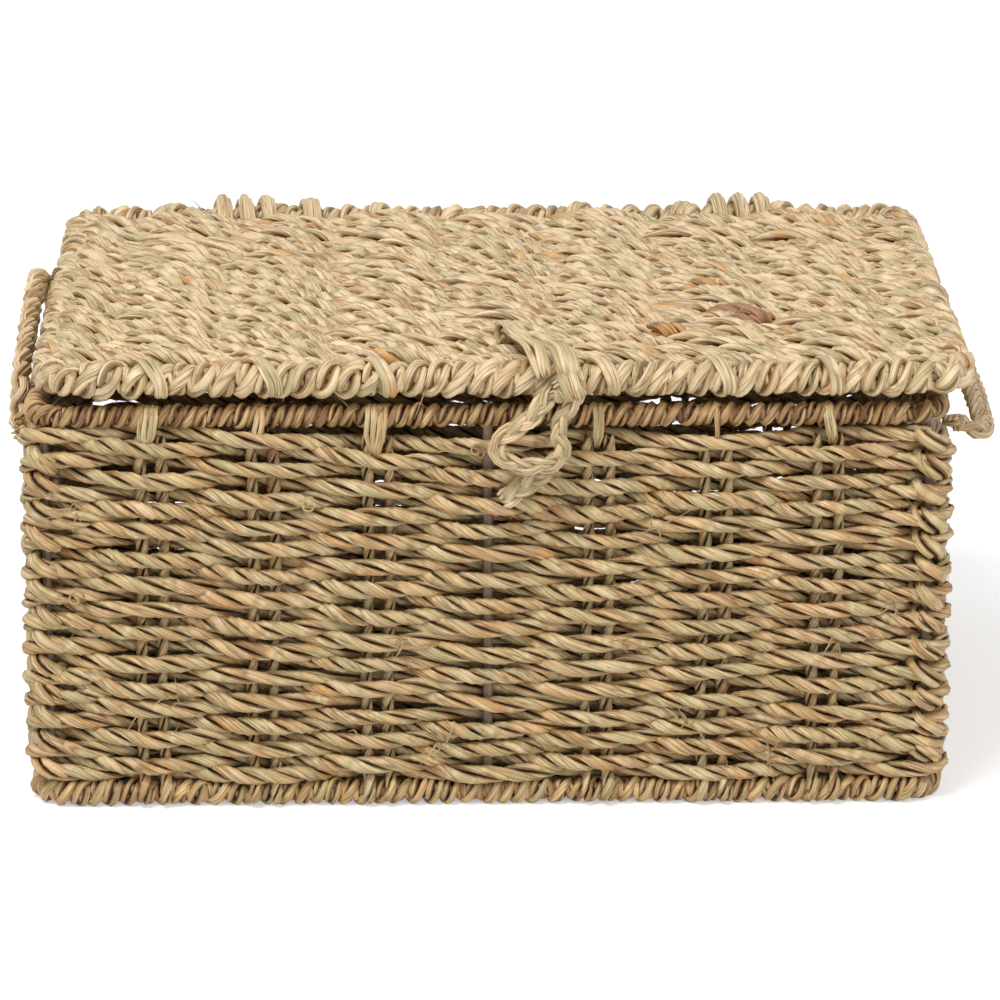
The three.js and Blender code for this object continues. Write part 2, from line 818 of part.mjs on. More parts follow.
place(box, "handle_right", rightHandle, strawPlait);

export default box;
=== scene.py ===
import json
import math

import bpy
import numpy as np
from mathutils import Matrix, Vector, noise


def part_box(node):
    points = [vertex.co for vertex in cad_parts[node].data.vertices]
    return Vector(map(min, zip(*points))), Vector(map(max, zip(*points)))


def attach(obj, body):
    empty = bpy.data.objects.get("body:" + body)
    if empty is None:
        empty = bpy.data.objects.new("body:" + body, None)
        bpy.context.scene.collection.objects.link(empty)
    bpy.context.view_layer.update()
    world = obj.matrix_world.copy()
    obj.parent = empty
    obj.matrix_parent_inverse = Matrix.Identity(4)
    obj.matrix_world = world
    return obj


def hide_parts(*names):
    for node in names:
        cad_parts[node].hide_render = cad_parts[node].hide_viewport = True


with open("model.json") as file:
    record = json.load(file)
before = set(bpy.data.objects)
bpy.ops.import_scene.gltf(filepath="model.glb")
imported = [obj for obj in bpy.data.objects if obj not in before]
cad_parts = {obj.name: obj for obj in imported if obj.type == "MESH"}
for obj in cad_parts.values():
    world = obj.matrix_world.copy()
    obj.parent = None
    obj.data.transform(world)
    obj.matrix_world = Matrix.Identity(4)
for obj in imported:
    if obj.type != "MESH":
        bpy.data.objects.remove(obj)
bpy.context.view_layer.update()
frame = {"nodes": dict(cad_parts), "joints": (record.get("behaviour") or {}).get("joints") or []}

# A box with a lid, woven from twisted grass cord on a frame of wire

MM = 0.001
TAU = 2 * math.pi

# Cord: two plies twisted together
CORD = 7 * MM  # in the walls
LAY = 29 * MM  # length of one full twist
STEP = 2.7 * MM  # between two stations along a cord
PLY_OFFSET_SHARE = 0.25  # of the cord's girth, as the next two are
PLY_WIDTH_SHARE = 0.73
PLY_THICKNESS_SHARE = 0.53
PLY_SIDES = 8
THIN_PLY_SIDES = 6
FOLDS_OF_PLY = (1, 3, 6)  # the corners of a ply's outline that stay sharp
OPEN_SIDES = 1.2  # keeps a strand that nothing presses clear of the painted shade on a ply's inner side

# Every strand
END_SHARE = 0.35  # of its full size, at the first and the last station
NEXT_TO_END_SHARE = 0.8
SWELL_WAVE = 14 * MM
TONE_WAVE = 13 * MM
LONG_TONE_WAVE = 90 * MM
WHISKER_STATIONS = 7

# Plait: shares of its width and its thickness
PLAIT_SWING_SHARE = 0.3  # how far a strand goes to each side
PLAIT_RISE_SHARE = 0.27  # how far it goes out and in
BLADE_PLACE_SHARE = 0.09  # of a strand's two blades, from its middle
BLADE_WIDTH_SHARE = 0.3
BLADE_THICKNESS_SHARE = 0.4

# Weave
WALL_ROWS = 27
WALL_SWING = 4.8 * MM  # how far a course swings out and in round the stakes
LID_ROWS = 38
LID_SWING = 3.8 * MM
LID_CORD = 9 * MM
BASE_ROWS = 46
BASE_SWING = 2.6 * MM
BASE_CORD = 5.2 * MM
STAKE_SPACING = 8.5 * MM
COURSE_STEP = 2 * MM
WALL_REACH = 7.3 * MM  # how far a course goes past the line of its corner post
PANEL_REACH = 3 * MM
TURN_IN = 18 * MM  # the end of a course that bends in to its corner post
WALL_WANDER = 1.1 * MM  # how far a course strays up and down
LID_WANDER = 1.5 * MM
BASE_WANDER = 0.6 * MM
# The waves in which a course strays: length, change from course to course, and size
WAVES = ((75 * MM, 0.31, 2), (55 * MM, 1.7, 1.6), (24 * MM, 2.7, 0.8))
PUSH = 1.3 * MM  # how far a course strays out and in
PUSH_WAVE = 50 * MM
LOWEST_SHARE = 0.45  # of a wall's length, from its left end to where its courses hang lowest
RISE_SHARE = 0.55  # of a course's sag that is gone at its right end

# Camera, found from the box's corners in the photograph
CAMERA_DISTANCE = 2268.2 * MM
CAMERA_TILT = math.radians(16.2)
CAMERA_TURN = math.radians(-1.03)  # towards the box's left
CAMERA_SIDE = 7.29 * MM  # the middle of the view, right of the box's middle
CAMERA_TARGET_HEIGHT = 87.5 * MM
CAMERA_LENS = 194.0
SENSOR = 36.0


def middle(node):
    low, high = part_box(node)
    return (low + high) / 2


def half_size(node):
    low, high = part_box(node)
    return (high - low) / 2


# Places, most of them read from the frame
WIRE = half_size("top_rim_wire").z
RIM_X = half_size("top_rim_wire").x - WIRE
RIM_Y = half_size("top_rim_wire").y - WIRE
RIM_Z = middle("top_rim_wire").z
BASE_Z = middle("base_rim_wire").z
LID_X = half_size("lid_rim_wire").x - WIRE
LID_Y = half_size("lid_rim_wire").y - WIRE
LID_Z = middle("lid_rim_wire").z
LID_MIDDLE = middle("lid_rim_wire").x
WALL_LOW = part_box("wall_weave_front")[0].z
WALL_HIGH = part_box("wall_weave_front")[1].z
CORNER_RADIUS = 12 * MM
LID_CORNER_RADIUS = CORNER_RADIUS + LID_X - RIM_X
POST_X = middle("corner_post_front_right").x
POST_Y = -middle("corner_post_front_right").y
WIDTH_BAY = 2 * RIM_X / 8  # half a wave of a course round the stakes
DEPTH_BAY = 2 * RIM_Y / 6


def make_camera():
    camera = bpy.data.objects.new("camera", bpy.data.cameras.new("camera"))
    camera.data.lens = CAMERA_LENS
    camera.data.sensor_width = SENSOR
    level = CAMERA_DISTANCE * math.cos(CAMERA_TILT)
    cosine, sine = math.cos(CAMERA_TURN), math.sin(CAMERA_TURN)
    camera.location = (
        CAMERA_SIDE * cosine + level * sine,
        CAMERA_SIDE * sine - level * cosine,
        CAMERA_TARGET_HEIGHT + CAMERA_DISTANCE * math.sin(CAMERA_TILT),
    )
    camera.rotation_euler = (math.pi / 2 - CAMERA_TILT, 0, CAMERA_TURN)
    camera.data.clip_end = 50
    bpy.context.scene.collection.objects.link(camera)
    bpy.context.scene.camera = camera


# Geometry of strands: paths are arrays of stations, one row of x, y, z each


def unit(vectors):
    return vectors / np.maximum(np.linalg.norm(vectors, axis=-1, keepdims=True), 1e-12)


def arc_lengths(path):
    return np.concatenate([[0], np.cumsum(np.linalg.norm(np.diff(path, axis=0), axis=1))])


def read_off(places, along, rows):
    """Rows that belong to lengths along a line, read off at other places on it."""
    return np.column_stack([np.interp(places, along, rows[:, axis]) for axis in range(3)])


def resample(path, step):
    along = arc_lengths(path)
    places = np.linspace(0, along[-1], max(3, round(along[-1] / step) + 1))
    return read_off(places, along, path)


def curve_through(points, step, closed=False):
    """A smooth curve through hand-set points, as stations a step apart."""
    points = np.array(points, float)
    if closed:
        knots = np.vstack([points[-1], points, points[0], points[1]])
    else:
        knots = np.vstack([2 * points[0] - points[1], points, 2 * points[-1] - points[-2]])
    share = np.linspace(0, 1, 24, endpoint=False)[:, None]
    bends = []
    for a, b, c, d in zip(knots, knots[1:], knots[2:], knots[3:]):
        bends.append(
            b
            + 0.5 * share * (c - a)
            + share**2 * (a - 2.5 * b + 2 * c - 0.5 * d)
            + share**3 * (1.5 * (b - c) + 0.5 * (d - a))
        )
    bends.append(knots[-2][None, :])
    return resample(np.vstack(bends), step)


def directions(path, out):
    """Unit vectors outward and sideways at each station."""
    tangent = unit(np.gradient(path, axis=0))
    out = np.broadcast_to(np.asarray(out, float), path.shape)
    normal = unit(out - (out * tangent).sum(1)[:, None] * tangent)
    return normal, np.cross(tangent, normal)


def drift(rng, along, reach, size):
    """A value that wanders smoothly between -size and size along a path."""
    count = int(along[-1] / reach) + 3
    knots = rng.uniform(-size, size, count)
    place = along / reach
    index = place.astype(int)
    share = place - index
    share = share * share * (3 - 2 * share)
    return knots[index] * (1 - share) + knots[index + 1] * share


class Strands:
    """Sweeps strands of dry grass and joins them in one mesh."""

    def __init__(self, name, seed, sides=PLY_SIDES, floor=None):
        self.name = name
        self.rng = np.random.default_rng(seed)
        self.sides = sides
        self.floor = floor
        self.points = []
        self.faces = []
        self.lays = []
        self.tones = []
        self.count = 0

    def add(self, path, out, width, thick, tone=0.5, change=0.45, ridge=0.1, taper=1.0, pressed=False):
        """One strand: width lies across the outward direction and thick along it.

        Tone picks its colour and wanders by the change along the strand. Ridge is how much its
        sides swell and shrink. A pressed strand gets painted shade on its inner side, where the
        next one lies against it.
        """
        rows = len(path)
        along = arc_lengths(path)
        normal, side = directions(path, out)
        angles = np.arange(self.sides) / self.sides * TAU
        swell = np.column_stack([drift(self.rng, along, SWELL_WAVE, ridge) for _ in angles]) + 1
        ends = np.ones(rows)
        ends[[0, -1]] = END_SHARE
        ends[[1, -2]] = NEXT_TO_END_SHARE if rows > 4 else END_SHARE
        ends = np.minimum(ends, np.broadcast_to(taper, rows))
        swell *= ends[:, None]
        width = np.broadcast_to(width, rows)[:, None]
        thick = np.broadcast_to(thick, rows)[:, None]
        rings = (
            path[:, None, :]
            + (swell * thick / 2 * np.cos(angles))[:, :, None] * normal[:, None, :]
            + (swell * width / 2 * np.sin(angles))[:, :, None] * side[:, None, :]
        )
        if self.floor is not None:
            rings[:, :, 2] = np.maximum(rings[:, :, 2], self.floor)
        tone = tone + drift(self.rng, along, TONE_WAVE, change)
        tone = tone + drift(self.rng, along, LONG_TONE_WAVE, change / 3)
        start = self.rng.uniform(0, 50)
        lay = np.empty((rows, self.sides, 3))
        lay[:, :, 0] = (along + start)[:, None]
        lay[:, :, 1] = np.cos(angles) + (0 if pressed else OPEN_SIDES)
        lay[:, :, 2] = np.sin(angles)
        corners = np.arange(self.sides)
        ring_starts = self.count + np.arange(rows - 1)[:, None] * self.sides
        here = ring_starts + corners
        there = ring_starts + (corners + 1) % self.sides
        quads = np.stack([here, there, there + self.sides, here + self.sides], axis=-1)
        self.faces += quads.reshape(-1, 4).tolist()
        first = self.count + corners
        self.faces.append(first[::-1].tolist())
        self.faces.append((first + (rows - 1) * self.sides).tolist())
        self.points.append(rings.reshape(-1, 3))
        self.lays.append(lay.reshape(-1, 3))
        self.tones.append(np.repeat(np.clip(np.broadcast_to(tone, rows), 0, 1), self.sides))
        self.count += rows * self.sides

    def twist(self, path, out, cord, lay=LAY, tone=0.5, change=0.45, slack=0.25, flat=(1, 1), loose=0):
        """A cord of two plies twisted round a path.

        Slack is how much the length of a twist changes. Flat stretches the cord along and across
        the outward direction. Loose is the number of stray fibres on each metre.
        """
        along = arc_lengths(path)
        normal, side = directions(path, out)
        rate = (1 + drift(self.rng, along, 60 * MM, slack)) / lay
        turns = np.concatenate([[0], np.cumsum(np.diff(along) * (rate[1:] + rate[:-1]) / 2)])
        girth = cord * (1 + drift(self.rng, along, 50 * MM, 0.12))
        start = self.rng.uniform(0, 1)
        for ply in range(2):
            angle = TAU * (turns + start + ply / 2)
            away = flat[0] * np.cos(angle)[:, None] * normal + flat[1] * np.sin(angle)[:, None] * side
            line = path + away * (girth * PLY_OFFSET_SHARE)[:, None]
            width = girth * PLY_WIDTH_SHARE
            thick = girth * PLY_THICKNESS_SHARE
            self.add(line, away, width, thick, tone, change, pressed=True)
            for place in self.rng.uniform(0, along[-1], self.rng.poisson(loose * along[-1] / 2)):
                index = int(np.searchsorted(along, place))
                root = line[index] + normal[index] * cord * 0.2
                way = unit(normal[index] * self.rng.uniform(0.2, 0.9) + self.rng.normal(0, 0.6, 3))
                self.whisker(root, way, self.rng.uniform(4, 11) * MM, self.rng.uniform(0.3, 0.6) * MM)

    def plait(self, path, out, width, thick, lay, tone=0.5):
        """A loose plait of three strands along a path, each strand of two flat blades."""
        along = arc_lengths(path)
        normal, side = directions(path, out)
        turns = along / lay + drift(self.rng, along, 1.5 * lay, 0.08)
        spread = width * (1 + drift(self.rng, along, lay, 0.12))
        for strand in range(3):
            angle = TAU * (turns + strand / 3)
            line = (
                path
                + (np.sin(angle) * spread * PLAIT_SWING_SHARE)[:, None] * side
                + (np.sin(2 * angle) * thick * PLAIT_RISE_SHARE)[:, None] * normal
            )
            for blade in (-1, 1):
                beside = line + blade * width * BLADE_PLACE_SHARE * directions(line, normal)[1]
                lifted = beside + normal * (0.5 * MM * blade)
                grown = width * BLADE_WIDTH_SHARE * (1 + drift(self.rng, along, 12 * MM, 0.3))
                self.add(lifted, normal, grown, thick * BLADE_THICKNESS_SHARE, tone, 0.35, ridge=0.16)

    def blades(self, path, out, count, spread, thick, width, crown, tone=0.5):
        """Flat blades side by side along a path, the middle ones standing higher by the crown."""
        normal, side = directions(path, out)
        along = arc_lengths(path)
        for index in range(count):
            place = (index + 0.5) / count - 0.5
            sway = drift(self.rng, along, 12 * MM, 0.5 * MM)
            high = crown * (1 - 4 * place * place) + drift(self.rng, along, 10 * MM, 0.3 * MM)
            line = path + (place * spread + sway)[:, None] * side + high[:, None] * normal
            grown = width * (1 + drift(self.rng, along, 14 * MM, 0.18))
            self.add(line, normal, grown, thick, tone, 0.3)

    def coil(self, start, end, radius, pitch, cord):
        """A strand whipped round the line from start to end."""
        start, end = np.array(start, float), np.array(end, float)
        axis = unit(end - start)
        first = unit(np.cross(axis, (0.3, 0.2, 1.0)))
        second = np.cross(axis, first)
        length = np.linalg.norm(end - start)
        turns = length / pitch
        angle = np.linspace(0, TAU * turns, max(8, round(turns * 14)))
        away = np.cos(angle)[:, None] * first + np.sin(angle)[:, None] * second
        path = start + (angle / angle[-1])[:, None] * (end - start) + away * radius
        self.add(path, away, pitch * 1.05, cord)

    def whisker(self, root, way, length, thick):
        """A loose fibre that curls away from the weave."""
        bend = self.rng.normal(0, 0.5, 3)
        share = np.linspace(0, 1, WHISKER_STATIONS)[:, None]
        path = np.asarray(root) + share * length * np.asarray(way) + share**2 * length * 0.6 * bend
        taper = np.linspace(1, 0.15, WHISKER_STATIONS)
        self.add(path, unit(np.cross(way, bend)), thick * 1.6, thick, taper=taper)

    def tuft(self, root, facing, count=7, length=9 * MM):
        """The frayed end of a cord."""
        for _ in range(count):
            way = unit(0.7 * np.asarray(facing) + self.rng.normal(0, 0.6, 3))
            start = root + self.rng.normal(0, 1.2 * MM, 3)
            self.whisker(start, way, length * self.rng.uniform(0.5, 1.3), self.rng.uniform(0.5, 1.1) * MM)

    def curl(self, root, facing, size=3.4 * MM, tone=0.2):
        """A cut blade rolled up in a flat spiral that faces away from the weave."""
        share = np.linspace(0, 1, 44)[:, None]
        angle = self.rng.uniform(0, TAU) + TAU * 1.3 * share
        facing = unit(np.asarray(facing) + self.rng.normal(0, 0.25, 3))
        across = unit(np.cross(facing, (0, 0.1, 1.0)))
        up = np.cross(across, facing)
        radial = np.cos(angle) * across + np.sin(angle) * up
        path = root + radial * size * (0.2 + 0.8 * share) + np.asarray(facing) * 2 * MM * (1 - share)
        self.add(path, radial, 2.3 * MM, 0.9 * MM, tone, 0.2)

    def build(self, material, body, slot, *replaced):
        """Makes the piece: it rides on the body and stands for the replaced nodes."""
        mesh = bpy.data.meshes.new(self.name)
        mesh.from_pydata(np.vstack(self.points), [], self.faces)
        mesh.shade_smooth()
        ends = np.empty(2 * len(mesh.edges), int)
        mesh.edges.foreach_get("vertices", ends)
        ends = ends.reshape(-1, 2) % self.sides
        sharp = mesh.attributes.new("sharp_edge", "BOOLEAN", "EDGE")
        folded = (ends[:, 0] == ends[:, 1]) & np.isin(ends[:, 0], FOLDS_OF_PLY)
        sharp.data.foreach_set("value", folded)
        lay = mesh.attributes.new("lay", "FLOAT_VECTOR", "POINT")
        lay.data.foreach_set("vector", np.vstack(self.lays).ravel())
        tone = mesh.attributes.new("tone", "FLOAT", "POINT")
        tone.data.foreach_set("value", np.concatenate(self.tones))
        mesh.materials.append(material)
        piece = bpy.data.objects.new(self.name, mesh)
        bpy.context.scene.collection.objects.link(piece)
        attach(piece, body)
        if replaced:
            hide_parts(*replaced)


# Materials


class Nodes:
    """A short way to write a node tree."""

    def __init__(self, name):
        self.material = bpy.data.materials.new(name)
        self.material.use_nodes = True
        self.tree = self.material.node_tree
        self.shader = self.tree.nodes["Principled BSDF"]

    def node(self, kind, inputs=None, **settings):
        made = self.tree.nodes.new(kind)
        for key, value in settings.items():
            setattr(made, key, value)
        for key, value in (inputs or {}).items():
            if isinstance(value, bpy.types.NodeSocket):
                self.tree.links.new(value, made.inputs[key])
            else:
                made.inputs[key].default_value = value
        return made

    def math(self, operation, a, b=0.0, c=0.0):
        return self.node("ShaderNodeMath", {0: a, 1: b, 2: c}, operation=operation).outputs[0]

    def ramp(self, factor, stops):
        made = self.node("ShaderNodeValToRGB", {0: factor})
        elements = made.color_ramp.elements
        while len(elements) < len(stops):
            elements.new(0.5)
        for element, (place, colour) in zip(elements, stops):
            element.position = place
            element.color = (*colour, 1)
        return made.outputs[0]

    def scaled(self, vector, sizes):
        return self.node("ShaderNodeVectorMath", {0: vector, 1: sizes}, operation="MULTIPLY").outputs[0]

    def noise(self, vector, detail):
        made = self.node("ShaderNodeTexNoise", {"Vector": vector, "Scale": 1.0, "Detail": detail})
        return made.outputs["Fac"]

    def multiplied(self, colour, other):
        inputs = {0: 1.0, 6: colour, 7: other}
        made = self.node("ShaderNodeMix", inputs, data_type="RGBA", blend_type="MULTIPLY")
        return made.outputs[2]

    def link(self, output, name):
        self.tree.links.new(output, self.shader.inputs[name])


# How fine the grass is: cells to a metre along a strand, and to half its width across it
BLADE_GRAIN = (26, 0.85, 0.85)
FIBRE_GRAIN = (38, 3.6, 3.6)
SPECK_GRAIN = (260, 1.6, 1.6)
# What the colour is multiplied by, from one fibre to the next
STREAKS = [(0.3, (0.72, 0.67, 0.6)), (0.45, (0.97, 0.96, 0.95)), (0.68, (1.17, 1.17, 1.16))]


def grass(name, blades, dark, shadow):
    """Dry grass: blades of several colours side by side, each with fine fibres along it.

    Dark is the colour of its specks. Shadow is what the colour is multiplied by where two plies
    press together.
    """
    nodes = Nodes(name)
    lay = nodes.node("ShaderNodeAttribute", attribute_name="lay").outputs["Vector"]
    tone = nodes.node("ShaderNodeAttribute", attribute_name="tone").outputs["Fac"]
    blade_place = {"Vector": nodes.scaled(lay, BLADE_GRAIN), "Scale": 1.0}
    cells = nodes.node("ShaderNodeTexVoronoi", blade_place)
    pick = nodes.node("ShaderNodeSeparateColor", {0: cells.outputs["Color"]})
    aside = nodes.math("MULTIPLY_ADD", pick.outputs[0], 0.25, -0.05)
    colour = nodes.ramp(nodes.math("MULTIPLY_ADD", tone, 0.85, aside), blades)
    fibre = nodes.noise(nodes.scaled(lay, FIBRE_GRAIN), 3.0)
    colour = nodes.multiplied(colour, nodes.ramp(fibre, STREAKS))
    speck = nodes.noise(nodes.scaled(lay, SPECK_GRAIN), 2.0)
    stain = nodes.ramp(speck, [(0.62, (0, 0, 0)), (0.76, (1, 1, 1))])
    stained = {0: nodes.math("MULTIPLY", stain, 0.5), 6: colour, 7: (*dark, 1)}
    colour = nodes.node("ShaderNodeMix", stained, data_type="RGBA").outputs[2]
    # Painted shade in the thin creases between blades: the colour darkens at the edges of the blade cells,
    # where the bump sinks too
    borders = nodes.node("ShaderNodeTexVoronoi", blade_place, feature="DISTANCE_TO_EDGE")
    edge = borders.outputs["Distance"]
    colour = nodes.multiplied(colour, nodes.ramp(edge, [(0.0, (0.5, 0.41, 0.31)), (0.07, (1, 1, 1))]))
    # Painted shade: where two plies press together, the ply's inner side is multiplied by the shadow colour
    turned_out = nodes.node("ShaderNodeSeparateXYZ", {0: lay}).outputs["Y"]
    depth = nodes.math("MULTIPLY_ADD", turned_out, 0.5, 0.5)
    colour = nodes.multiplied(colour, nodes.ramp(depth, [(0.16, shadow), (0.42, (1, 1, 1))]))
    nodes.link(colour, "Base Color")
    crease = nodes.math("MINIMUM", nodes.math("MULTIPLY", edge, 7.0), 1.0)
    height = nodes.math("MULTIPLY_ADD", fibre, 0.9, nodes.math("MULTIPLY", crease, 0.5))
    bumped = nodes.node("ShaderNodeBump", {"Strength": 0.5, "Distance": 0.8 * MM, "Height": height})
    nodes.link(bumped.outputs[0], "Normal")
    nodes.link(nodes.math("MULTIPLY_ADD", fibre, -0.3, 0.6), "Roughness")
    nodes.shader.inputs["Specular IOR Level"].default_value = 0.5
    return nodes.material


def painted_wire():
    """Smooth brown rod, a little scuffed."""
    nodes = Nodes("painted_wire")
    place = nodes.node("ShaderNodeTexCoord").outputs["Object"]
    scuff = nodes.node("ShaderNodeTexNoise", {"Vector": place, "Scale": 260.0, "Detail": 4.0}).outputs["Fac"]
    nodes.link(nodes.ramp(scuff, [(0.3, (0.2, 0.14, 0.09)), (0.7, (0.33, 0.24, 0.17))]), "Base Color")
    nodes.link(nodes.math("MULTIPLY_ADD", scuff, 0.3, 0.32), "Roughness")
    bumped = nodes.node("ShaderNodeBump", {"Strength": 0.15, "Distance": 0.2 * MM, "Height": scuff})
    nodes.link(bumped.outputs[0], "Normal")
    return nodes.material


UMBER = (0.13, 0.065, 0.026)
BROWN = (0.34, 0.19, 0.08)
TAN = (0.53, 0.335, 0.15)
STRAW = (0.68, 0.485, 0.24)
SAGE = (0.5, 0.41, 0.205)
HAY = (0.72, 0.54, 0.31)
PALE = (0.8, 0.63, 0.4)
BLUSH = (0.63, 0.44, 0.25)
ORANGE = (0.66, 0.37, 0.13)
RUST = (0.43, 0.2, 0.11)
DEEP_SHADOW = (0.2, 0.13, 0.065)
SOFT_SHADOW = (0.42, 0.32, 0.2)

BODY_BLADES = [
    (0.0, BROWN),
    (0.1, TAN),
    (0.2, STRAW),
    (0.32, SAGE),
    (0.42, HAY),
    (0.52, SAGE),
    (0.6, TAN),
    (0.7, STRAW),
    (0.79, BLUSH),
    (0.86, TAN),
    (0.93, ORANGE),
    (1.0, PALE),
]
# Rim wrap blades: browner than the body's, as the real wrap is, and darker still with painted shade from the
# lid that overhangs the rim
RIM_BLADES_BROWN_AND_SHADED = [
    (0.0, UMBER),
    (0.2, BROWN),
    (0.42, TAN),
    (0.6, BROWN),
    (0.75, STRAW),
    (0.9, ORANGE),
    (1.0, STRAW),
]
BASE_BLADES = [
    (0.0, BROWN),
    (0.15, TAN),
    (0.35, STRAW),
    (0.5, TAN),
    (0.65, SAGE),
    (0.8, STRAW),
    (0.9, ORANGE),
    (1.0, HAY),
]
LID_BLADES = [
    (0.0, TAN),
    (0.12, HAY),
    (0.28, PALE),
    (0.4, SAGE),
    (0.52, PALE),
    (0.64, HAY),
    (0.74, PALE),
    (0.84, BLUSH),
    (0.92, ORANGE),
    (1.0, PALE),
]
PLAIT_BLADES = [(0.0, TAN), (0.25, HAY), (0.5, PALE), (0.7, SAGE), (1.0, PALE)]
RUST_BLADES = [(0.0, RUST), (0.3, RUST), (0.5, BROWN), (0.75, ORANGE), (1.0, HAY)]


# Cut blades that are rolled up on the front wall: how far right of the middle, and height
CURLS = [
    (-70.4 * MM, 126.9 * MM),
    (-4.3 * MM, 149 * MM),
    (-162.6 * MM, 89 * MM),
]
# Reddish and brown stretches of the lid's cord: x, y, length and tone
LID_RUST = [
    (101 * MM, -51 * MM, 19 * MM, 0.2),
    (109 * MM, -58 * MM, 16 * MM, 0.25),
    (104 * MM, -66 * MM, 13 * MM, 0.4),
    (93 * MM, -5 * MM, 20 * MM, 0.65),
    (72 * MM, -79 * MM, 16 * MM, 0.6),
]
# Frayed ends on the front wall: how far right of the middle, and height
TUFTS = [
    (-162.2 * MM, 126.1 * MM),
    (-33.6 * MM, 71.3 * MM),
    (-124.6 * MM, 47 * MM),
    (-17.8 * MM, 28.5 * MM),
    (66.9 * MM, 116.6 * MM),
    (161.9 * MM, 83.7 * MM),
    (138.2 * MM, 69.7 * MM),
    (53.5 * MM, 69.7 * MM),
    (112.8 * MM, 21.9 * MM),
    (78.8 * MM, 35.5 * MM),
]


# Woven walls and panels


def ease(value):
    value = np.clip(value, 0, 1)
    return value * value * (3 - 2 * value)


def weft(post, bay, rows, low, high, swing, inset, wander, seed, reach, sag=(0, 0)):
    """A cord woven back and forth: stations of along, outward and up from the weave's middle line.

    Even rows run to the right. At each end the cord turns round a post that stands inset from
    the line, reaches past it, and comes back one row higher on the other side of the stakes.
    Sag is how far the lowest and the highest courses hang, the most a little left of the middle.
    The topmost courses hang less again.
    """
    pitch = (high - low) / rows
    samples = round(2 * post / COURSE_STEP)
    courses = []
    for row in range(rows):
        way = 1 if row % 2 == 0 else -1
        along = way * np.linspace(-post, post, samples)
        hang = sag[0] + (sag[1] - sag[0]) * row / rows
        share = (along / post + 1) / 2
        rising = ease((share - LOWEST_SHARE) / (1 - LOWEST_SHARE))
        dip = ease(share / LOWEST_SHARE) - RISE_SHARE * rising
        lifted = 0.5 * sag[1] * ease((row / rows - 0.8) / 0.17)
        level = low + (row + 0.5) * pitch - hang * dip + lifted
        lift = [
            sum(
                wander * noise.noise((place / length, row * change, seed + 20 * index)) * size
                for index, (length, change, size) in enumerate(WAVES)
            )
            for place in along
        ]
        push = [PUSH * noise.noise((place / PUSH_WAVE, row * 1.9, seed + 80)) for place in along]
        out = way * swing * np.cos(math.pi * along / bay) + push
        out = out - inset * ease((np.abs(along) - (post - TURN_IN)) / TURN_IN)
        level = np.clip(level + np.array(lift), low + 0.45 * pitch, high - 0.2 * pitch)
        courses.append(np.column_stack([along, out, level]))
    stations = []
    for row, course in enumerate(courses):
        stations.append(course)
        if row + 1 == rows:
            break
        way = 1 if row % 2 == 0 else -1
        end = course[-1]
        following = courses[row + 1][0]
        turn = np.linspace(0, math.pi, 9)[1:-1]
        share = ease(turn / math.pi)
        radius = (end[1] - following[1]) / 2
        centre = (end[1] + following[1]) / 2
        stations.append(
            np.column_stack(
                [
                    way * (post + reach * np.sin(turn)),
                    centre + radius * np.cos(turn),
                    end[2] + (following[2] - end[2]) * share,
                ]
            )
        )
    return np.vstack(stations)


def turned(points, turn):
    """Points turned about the vertical by quarter turns."""
    angle = turn * math.pi / 2
    cosine, sine = math.cos(angle), math.sin(angle)
    x, y = points[:, 0], points[:, 1]
    return np.column_stack([x * cosine - y * sine, x * sine + y * cosine, points[:, 2]])


def wall(name, turn, post, bay, line, sag, cord, seed, material):
    """One woven wall, a number of quarter turns from the front.

    Line is how far its stakes stand from the middle of the box.
    """
    inset = line - (POST_Y if turn % 2 == 0 else POST_X)
    path = weft(
        post, bay, WALL_ROWS, WALL_LOW, WALL_HIGH, WALL_SWING, inset, WALL_WANDER, seed, WALL_REACH, sag
    )
    flat = np.column_stack([path[:, 0], -line - path[:, 1], path[:, 2]])
    strands = Strands("weft_" + name, seed)
    strands.twist(resample(turned(flat, turn), STEP), (0, 0, 1), cord, slack=0.4, loose=7)
    if name == "front":
        for x, z in CURLS:
            strands.curl(np.array([x, -line - 8.5 * MM, z]), (0, -1, 0))
        for x, z in TUFTS:
            strands.tuft(np.array([x, -line - 6.5 * MM, z]), (0, -1, 0))
    strands.build(material, "basket", "seagrass_body", "wall_weave_" + name)


